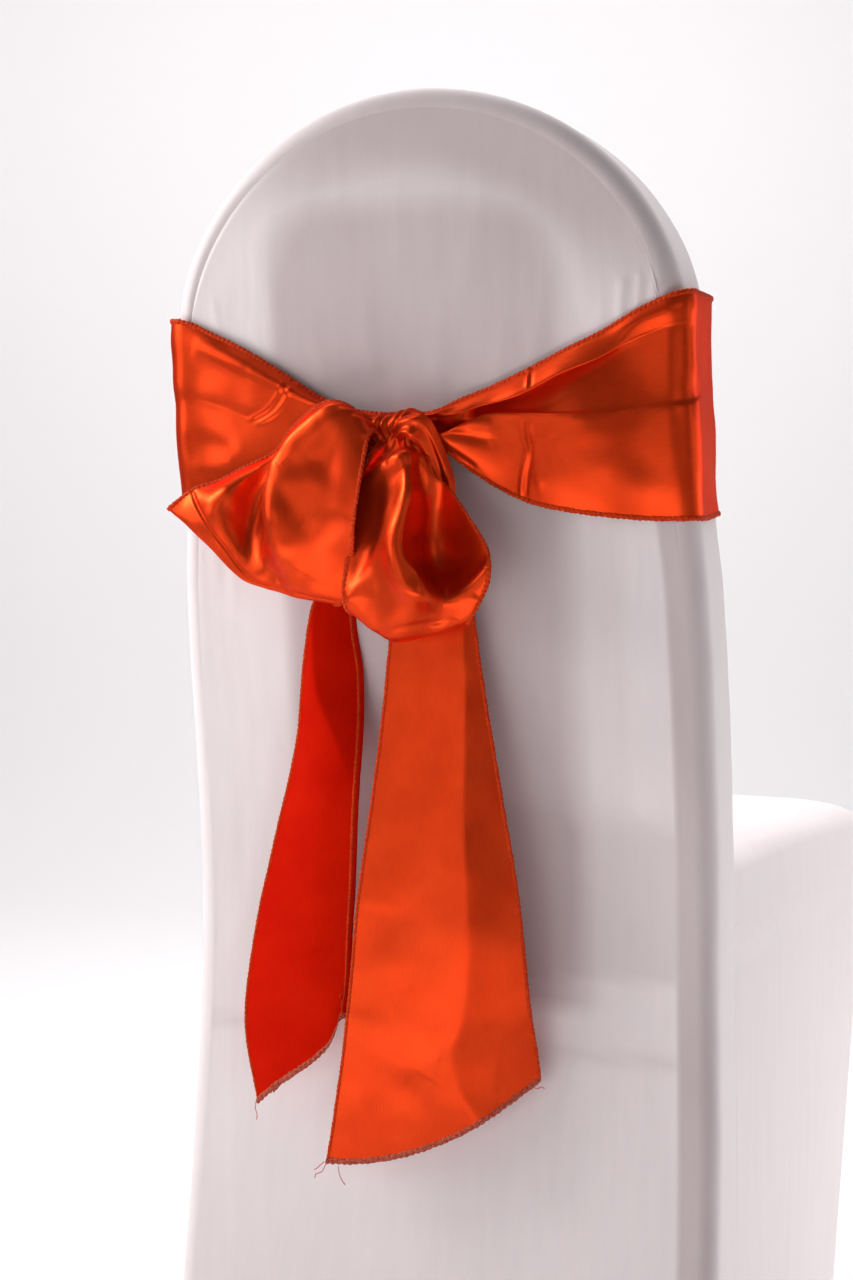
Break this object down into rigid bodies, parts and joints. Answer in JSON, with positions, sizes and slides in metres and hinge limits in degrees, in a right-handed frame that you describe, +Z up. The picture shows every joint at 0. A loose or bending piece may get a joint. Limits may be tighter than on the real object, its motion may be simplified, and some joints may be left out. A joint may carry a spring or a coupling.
{
  "type": "chair cover with sash",
  "caption": "Fitted stretch cover for an arched banquet chair, shaped over its back, seat and legs, with a satin sash round the back tied in a bow behind.",
  "frame": {"origin": "point just under the top of the arch, on the inside of the cloth, where the top of the chair's back holds the cover; the floor is 0.9985 m below it", "axes": "+Z up, +Y from the rear of the back, where the bow is, towards the front of the seat, +X to the right of someone standing behind the chair and facing it"},
  "size_m": [0.442, 0.5367, 0.9943],
  "materials": {
    "white_stretch_cloth": "fine matt stretch knit, white, drawn smooth over the padding",
    "orange_red_satin": "soft-shining satin, edges overlocked in thread of its colour"
  },
  "bodies": {
    "root": {"back_outer": "white_stretch_cloth", "gusset": "white_stretch_cloth", "back_inner": "white_stretch_cloth", "seat_top": "white_stretch_cloth", "skirt_left": "white_stretch_cloth", "skirt_right": "white_stretch_cloth", "skirt_front": "white_stretch_cloth", "sash": "orange_red_satin"}
  },
  "joints": []
}
